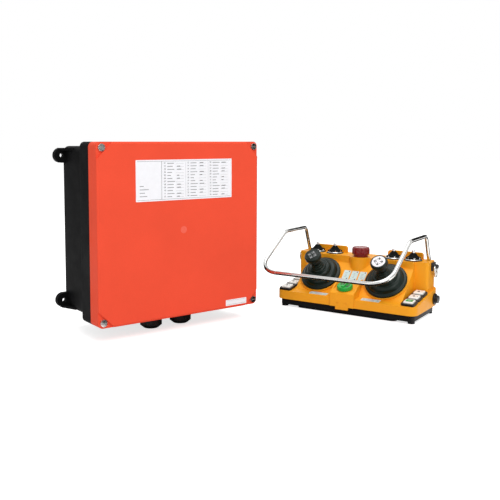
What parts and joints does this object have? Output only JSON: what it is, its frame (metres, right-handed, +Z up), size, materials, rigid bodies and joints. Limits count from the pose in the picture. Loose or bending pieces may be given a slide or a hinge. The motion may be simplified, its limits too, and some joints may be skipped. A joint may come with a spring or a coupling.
{
  "type": "crane radio remote control set",
  "caption": "Wall-mounted radio receiver case with a lift-off lid and cable glands, and a joystick transmitter with stop button, toggles and guard rail.",
  "frame": {"origin": "centre of the four wall-bolt holes of the receiver, on the wall plane", "axes": "+X to the right as the lid is seen, -Y out of the wall through the lid, +Z up"},
  "size_m": [0.5992, 0.345, 0.306],
  "materials": {
    "case_plastic": "moulded, fine texture",
    "lid_plastic": "moulded, satin",
    "black_rubber": "matt",
    "boot_rubber": "satin",
    "zinc_steel": "zinc plated",
    "label_film": "printed film",
    "gland_nylon": "moulded nylon",
    "board_laminate": "solder mask",
    "relay_plastic": "moulded",
    "terminal_plastic": "moulded",
    "transformer_iron": "laminated, varnished",
    "shield_can": "tinned",
    "spacer_brass": "turned",
    "housing_plastic": "moulded, satin",
    "base_plastic": "moulded",
    "pack_film": "shrink film",
    "bezel_plastic": "moulded",
    "rail_steel": "polished stainless rod",
    "nut_chrome": "nickel plated",
    "bracket_paint": "black",
    "stick_steel": "machined",
    "knob_plastic": "moulded",
    "stop_plastic": "moulded",
    "key_plastic": "moulded",
    "cap_plastic": "moulded"
  },
  "bodies": {
    "receiver": {"receiver_base": "case_plastic", "lid_gasket": "black_rubber", "gland_bodies": "gland_nylon", "gland_dome_nuts": "gland_nylon", "gland_seals": "black_rubber", "gland_locknuts": "gland_nylon", "mounting_plate": "zinc_steel", "plate_screws": "zinc_steel", "relay_board": "board_laminate", "relays": "relay_plastic", "terminal_blocks": "terminal_plastic", "supply_transformer": "transformer_iron", "radio_module": "shield_can", "board_spacers": "spacer_brass", "board_screws": "zinc_steel"},
    "lid": {"receiver_lid": "lid_plastic", "lid_screws": "zinc_steel", "lid_labels": "label_film"},
    "transmitter": {"upper_housing": "housing_plastic", "rear_lips": "housing_plastic", "lower_housing": "base_plastic", "housing_gasket": "black_rubber", "housing_screws": "zinc_steel", "guard_rail": "rail_steel", "battery_pack": "pack_film", "battery_cover": "base_plastic", "cover_screws": "zinc_steel", "encoder_board": "board_laminate", "label_plates": "label_film", "button_bezels": "bezel_plastic", "toggle_nuts": "nut_chrome", "strap_brackets": "bracket_paint", "stop_collar": "bezel_plastic", "stick_housings": "bezel_plastic", "switch_bodies": "bezel_plastic", "toggle_boots": "boot_rubber", "left_stick_boot": "boot_rubber", "right_stick_boot": "boot_rubber"},
    "left_gimbal_body": {"left_gimbal": "stick_steel"},
    "left_stick_body": {"left_stick": "stick_steel", "left_knob": "knob_plastic"},
    "right_gimbal_body": {"right_gimbal": "stick_steel"},
    "right_stick_body": {"right_stick": "stick_steel", "right_knob": "knob_plastic"},
    "stop_stem_body": {"stop_stem": "stop_plastic"},
    "stop_head_body": {"stop_head": "stop_plastic"},
    "key_knob_body": {"key_knob": "key_plastic"},
    "side_button_body": {"side_button": "knob_plastic"},
    "left_front_button_body": {"left_front_button": "cap_plastic"},
    "left_middle_button_body": {"left_middle_button": "cap_plastic"},
    "left_rear_button_body": {"left_rear_button": "cap_plastic"},
    "right_front_button_body": {"right_front_button": "cap_plastic"},
    "right_middle_button_body": {"right_middle_button": "cap_plastic"},
    "right_rear_button_body": {"right_rear_button": "cap_plastic"},
    "left_outer_toggle_body": {"left_outer_toggle": "nut_chrome"},
    "left_inner_toggle_body": {"left_inner_toggle": "nut_chrome"},
    "right_inner_toggle_body": {"right_inner_toggle": "nut_chrome"},
    "right_outer_toggle_body": {"right_outer_toggle": "nut_chrome"},
    "left_strap_ring_body": {"left_strap_ring": "rail_steel"},
    "right_strap_ring_body": {"right_strap_ring": "rail_steel"}
  },
  "joints": [
    {"name": "lid_lift_off", "type": "slide", "parent": "receiver", "child": "lid", "axis": [0, -1, 0], "range_m": [0, 0.07]},
    {"name": "transmitter_lift", "type": "slide", "parent": "receiver", "child": "transmitter", "axis": [0, 0, 1], "range_m": [0, 0.12]},
    {"name": "left_stick_fore_aft", "type": "hinge", "parent": "transmitter", "child": "left_gimbal_body", "pos_m": [0.307, -0.13243, -0.108], "axis": [0.342, -0.9397, 0], "range_deg": [-20, 20], "stiffness_Nm_per_rad": 0.35, "deforming": ["left_stick_boot"]},
    {"name": "left_stick_side_to_side", "type": "hinge", "parent": "left_gimbal_body", "child": "left_stick_body", "pos_m": [0.307, -0.13243, -0.108], "axis": [0.6983, 0.2542, 0.6691], "range_deg": [-20, 20], "stiffness_Nm_per_rad": 0.35, "deforming": ["left_stick_boot"]},
    {"name": "right_stick_fore_aft", "type": "hinge", "parent": "transmitter", "child": "right_gimbal_body", "pos_m": [0.35044, -0.25178, -0.108], "axis": [0.342, -0.9397, 0], "range_deg": [-20, 20], "stiffness_Nm_per_rad": 0.35, "deforming": ["right_stick_boot"]},
    {"name": "right_stick_side_to_side", "type": "hinge", "parent": "right_gimbal_body", "child": "right_stick_body", "pos_m": [0.35044, -0.25178, -0.108], "axis": [0.6983, 0.2542, 0.6691], "range_deg": [-20, 20], "stiffness_Nm_per_rad": 0.35, "deforming": ["right_stick_boot"]},
    {"name": "stop_push", "type": "slide", "parent": "transmitter", "child": "stop_stem_body", "axis": [0, 0, -1], "range_m": [0, 0.004], "stiffness_N_per_m": 2500},
    {"name": "stop_twist", "type": "hinge", "parent": "stop_stem_body", "child": "stop_head_body", "pos_m": [0.35973, -0.18082, -0.072], "axis": [0, 0, 1], "range_deg": [0, 45], "stiffness_Nm_per_rad": 0.05},
    {"name": "key_turn", "type": "hinge", "parent": "transmitter", "child": "key_knob_body", "pos_m": [0.29677, -0.20373, -0.121], "axis": [-0.2432, -0.0885, 0.9659], "range_deg": [0, 90]},
    {"name": "side_button_push", "type": "slide", "parent": "transmitter", "child": "side_button_body", "axis": [-0.342, 0.9397, 0], "range_m": [0, 0.003], "stiffness_N_per_m": 900},
    {"name": "left_front_button_push", "type": "slide", "parent": "transmitter", "child": "left_front_button_body", "axis": [0.1308, 0.0476, -0.9903], "range_m": [0, 0.002], "stiffness_N_per_m": 900},
    {"name": "left_middle_button_push", "type": "slide", "parent": "transmitter", "child": "left_middle_button_body", "axis": [0.1308, 0.0476, -0.9903], "range_m": [0, 0.002], "stiffness_N_per_m": 900},
    {"name": "left_rear_button_push", "type": "slide", "parent": "transmitter", "child": "left_rear_button_body", "axis": [0.1308, 0.0476, -0.9903], "range_m": [0, 0.002], "stiffness_N_per_m": 900},
    {"name": "right_front_button_push", "type": "slide", "parent": "transmitter", "child": "right_front_button_body", "axis": [0.1308, 0.0476, -0.9903], "range_m": [0, 0.002], "stiffness_N_per_m": 900},
    {"name": "right_middle_button_push", "type": "slide", "parent": "transmitter", "child": "right_middle_button_body", "axis": [0.1308, 0.0476, -0.9903], "range_m": [0, 0.002], "stiffness_N_per_m": 900},
    {"name": "right_rear_button_push", "type": "slide", "parent": "transmitter", "child": "right_rear_button_body", "axis": [0.1308, 0.0476, -0.9903], "range_m": [0, 0.002], "stiffness_N_per_m": 900},
    {"name": "left_outer_toggle_throw", "type": "hinge", "parent": "transmitter", "child": "left_outer_toggle_body", "pos_m": [0.33946, -0.0871, -0.071], "axis": [0.342, -0.9397, 0], "range_deg": [-12, 12], "deforming": ["toggle_boots"]},
    {"name": "left_inner_toggle_throw", "type": "hinge", "parent": "transmitter", "child": "left_inner_toggle_body", "pos_m": [0.35194, -0.1214, -0.071], "axis": [0.342, -0.9397, 0], "range_deg": [-12, 12], "deforming": ["toggle_boots"]},
    {"name": "right_inner_toggle_throw", "type": "hinge", "parent": "transmitter", "child": "right_inner_toggle_body", "pos_m": [0.39196, -0.23134, -0.071], "axis": [0.342, -0.9397, 0], "range_deg": [-12, 12], "deforming": ["toggle_boots"]},
    {"name": "right_outer_toggle_throw", "type": "hinge", "parent": "transmitter", "child": "right_outer_toggle_body", "pos_m": [0.40444, -0.26564, -0.071], "axis": [0.342, -0.9397, 0], "range_deg": [-12, 12], "deforming": ["toggle_boots"]},
    {"name": "left_strap_ring_swing", "type": "hinge", "parent": "transmitter", "child": "left_strap_ring_body", "pos_m": [0.33575, -0.04767, -0.081], "axis": [0.9397, 0.342, 0], "range_deg": [0, 150]},
    {"name": "right_strap_ring_swing", "type": "hinge", "parent": "transmitter", "child": "right_strap_ring_body", "pos_m": [0.42695, -0.29823, -0.081], "axis": [-0.9397, -0.342, 0], "range_deg": [0, 150]}
  ]
}
